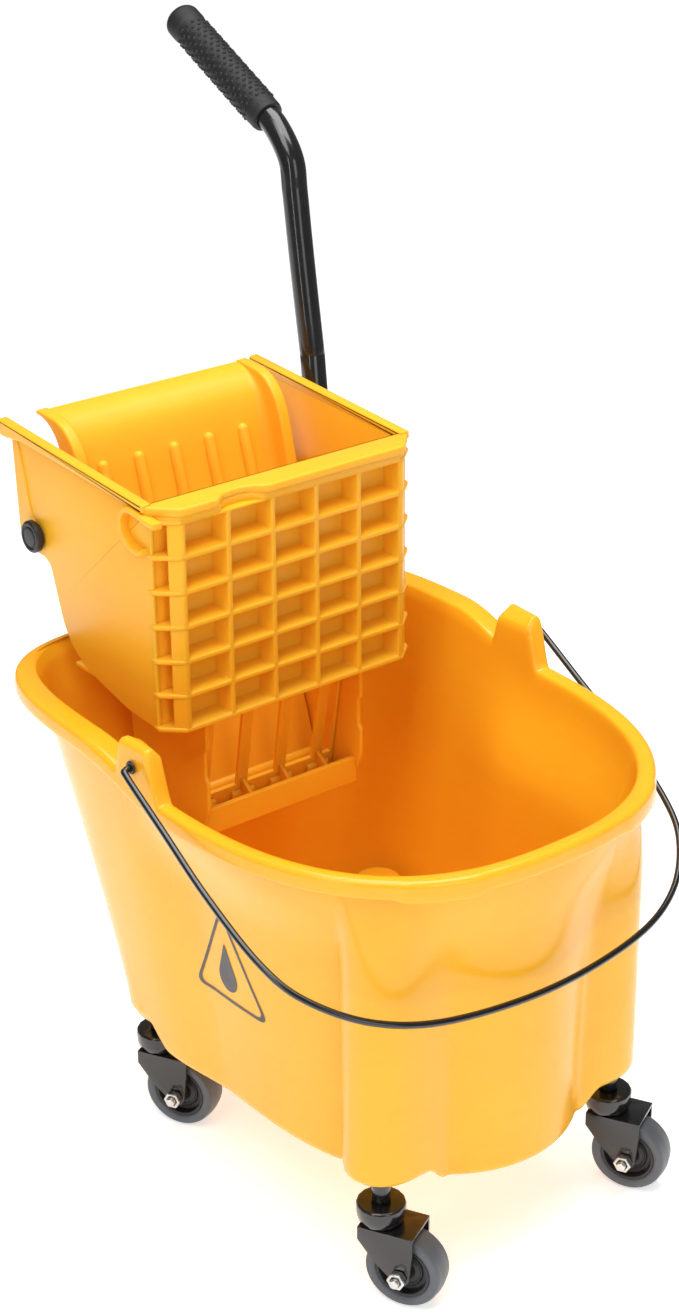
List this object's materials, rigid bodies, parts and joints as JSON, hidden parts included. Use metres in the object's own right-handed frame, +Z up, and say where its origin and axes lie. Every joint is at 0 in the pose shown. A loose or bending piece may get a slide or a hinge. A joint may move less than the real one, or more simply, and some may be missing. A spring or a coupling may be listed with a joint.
{
  "type": "mop bucket with wringer",
  "caption": "Side-press mop bucket on four casters: yellow tub, lift-off wringer with gear-driven press plate, angled lever with rubber grip, wire bail and drain grate.",
  "frame": {"origin": "on the floor plane, under the middle of the overall bounding box", "axes": "+X towards the object's own left-to-right, the lever side, +Y towards the back, where the wringer sits, +Z up"},
  "size_m": [0.4189, 0.7052, 0.8554],
  "materials": {
    "yellow_plastic": "moulded yellow polypropylene, smooth, slightly translucent",
    "wringer_plastic": "moulded yellow polypropylene, smooth",
    "black_steel": "gloss black powder coat over steel",
    "zinc_steel": "bright zinc plate on pressed and turned steel",
    "black_plastic": "moulded black nylon",
    "grey_tyre": "grey non-marking rubber tread",
    "black_rubber": "soft black rubber grip",
    "spring_steel": "plated spring wire"
  },
  "bodies": {
    "bucket": {"bucket_body": "yellow_plastic", "caster_socket_front_left": "black_plastic", "caster_socket_front_right": "black_plastic", "caster_socket_rear_left": "black_plastic", "caster_socket_rear_right": "black_plastic", "caster_stem_front_left": "black_steel", "caster_stem_front_right": "black_steel", "caster_stem_rear_left": "black_steel", "caster_stem_rear_right": "black_steel"},
    "bail": {"bail_handle": "black_steel"},
    "caster_front_left": {"caster_cup_front_left": "black_steel", "caster_fork_front_left": "black_steel", "wheel_bolt_front_left": "zinc_steel", "wheel_nut_front_left": "zinc_steel"},
    "wheel_front_left": {"wheel_hub_front_left": "black_plastic", "wheel_tyre_front_left": "grey_tyre"},
    "caster_front_right": {"caster_cup_front_right": "black_steel", "caster_fork_front_right": "black_steel", "wheel_bolt_front_right": "zinc_steel", "wheel_nut_front_right": "zinc_steel"},
    "wheel_front_right": {"wheel_hub_front_right": "black_plastic", "wheel_tyre_front_right": "grey_tyre"},
    "caster_rear_left": {"caster_cup_rear_left": "black_steel", "caster_fork_rear_left": "black_steel", "wheel_bolt_rear_left": "zinc_steel", "wheel_nut_rear_left": "zinc_steel"},
    "wheel_rear_left": {"wheel_hub_rear_left": "black_plastic", "wheel_tyre_rear_left": "grey_tyre"},
    "caster_rear_right": {"caster_cup_rear_right": "black_steel", "caster_fork_rear_right": "black_steel", "wheel_bolt_rear_right": "zinc_steel", "wheel_nut_rear_right": "zinc_steel"},
    "wheel_rear_right": {"wheel_hub_rear_right": "black_plastic", "wheel_tyre_rear_right": "grey_tyre"},
    "wringer": {"wringer_frame": "wringer_plastic", "drain_grate": "wringer_plastic", "hinge_pin": "zinc_steel", "hinge_clip_left": "zinc_steel", "hinge_clip_right": "zinc_steel", "axle_bush_left": "black_plastic", "axle_bush_right": "black_plastic", "return_spring_left": "spring_steel", "return_spring_right": "spring_steel"},
    "press": {"press_plate": "wringer_plastic"},
    "lever": {"lever_axle": "zinc_steel", "gear_sector_left": "black_plastic", "gear_sector_right": "black_plastic", "axle_cap": "black_plastic", "axle_spacer": "black_plastic", "lever_socket": "black_steel", "lever_tube": "black_steel", "lever_bolt": "zinc_steel", "lever_nut": "zinc_steel", "lever_grip": "black_rubber"}
  },
  "joints": [
    {"name": "bail_swing", "type": "hinge", "parent": "bucket", "child": "bail", "pos_m": [0, -0.0912, 0.4025], "axis": [-1, 0, 0], "range_deg": [0, 120]},
    {"name": "caster_swivel_front_left", "type": "hinge", "parent": "bucket", "child": "caster_front_left", "pos_m": [-0.118, -0.2887, 0.076], "axis": [0, 0, 1], "continuous": true},
    {"name": "wheel_spin_front_left", "type": "hinge", "parent": "caster_front_left", "child": "wheel_front_left", "pos_m": [-0.10767, -0.30812, 0.0318], "axis": [0.8829, 0.4695, 0], "continuous": true},
    {"name": "caster_swivel_front_right", "type": "hinge", "parent": "bucket", "child": "caster_front_right", "pos_m": [0.118, -0.2887, 0.076], "axis": [0, 0, 1], "continuous": true},
    {"name": "wheel_spin_front_right", "type": "hinge", "parent": "caster_front_right", "child": "wheel_front_right", "pos_m": [0.12833, -0.30812, 0.0318], "axis": [0.8829, 0.4695, 0], "continuous": true},
    {"name": "caster_swivel_rear_left", "type": "hinge", "parent": "bucket", "child": "caster_rear_left", "pos_m": [-0.118, 0.0113, 0.076], "axis": [0, 0, 1], "continuous": true},
    {"name": "wheel_spin_rear_left", "type": "hinge", "parent": "caster_rear_left", "child": "wheel_rear_left", "pos_m": [-0.10767, -0.00812, 0.0318], "axis": [0.8829, 0.4695, 0], "continuous": true},
    {"name": "caster_swivel_rear_right", "type": "hinge", "parent": "bucket", "child": "caster_rear_right", "pos_m": [0.118, 0.0113, 0.076], "axis": [0, 0, 1], "continuous": true},
    {"name": "wheel_spin_rear_right", "type": "hinge", "parent": "caster_rear_right", "child": "wheel_rear_right", "pos_m": [0.12833, -0.00812, 0.0318], "axis": [0.8829, 0.4695, 0], "continuous": true},
    {"name": "wringer_lift", "type": "slide", "parent": "bucket", "child": "wringer", "axis": [0, 0, 1], "range_m": [0, 0.3]},
    {"name": "press_turn", "type": "hinge", "parent": "wringer", "child": "press", "pos_m": [0, 0.0433, 0.2735], "axis": [1, 0, 0], "range_deg": [0, 18]},
    {"name": "lever_turn", "type": "hinge", "parent": "wringer", "child": "lever", "pos_m": [0, 0.1503, 0.4925], "axis": [-1, 0, 0], "range_deg": [0, 75], "stiffness_Nm_per_rad": 1.5, "springref_deg": -60.16}
  ],
  "couplings": [
    {"joint": "press_turn", "follows": "lever_turn", "ratio": 0.24}
  ]
}
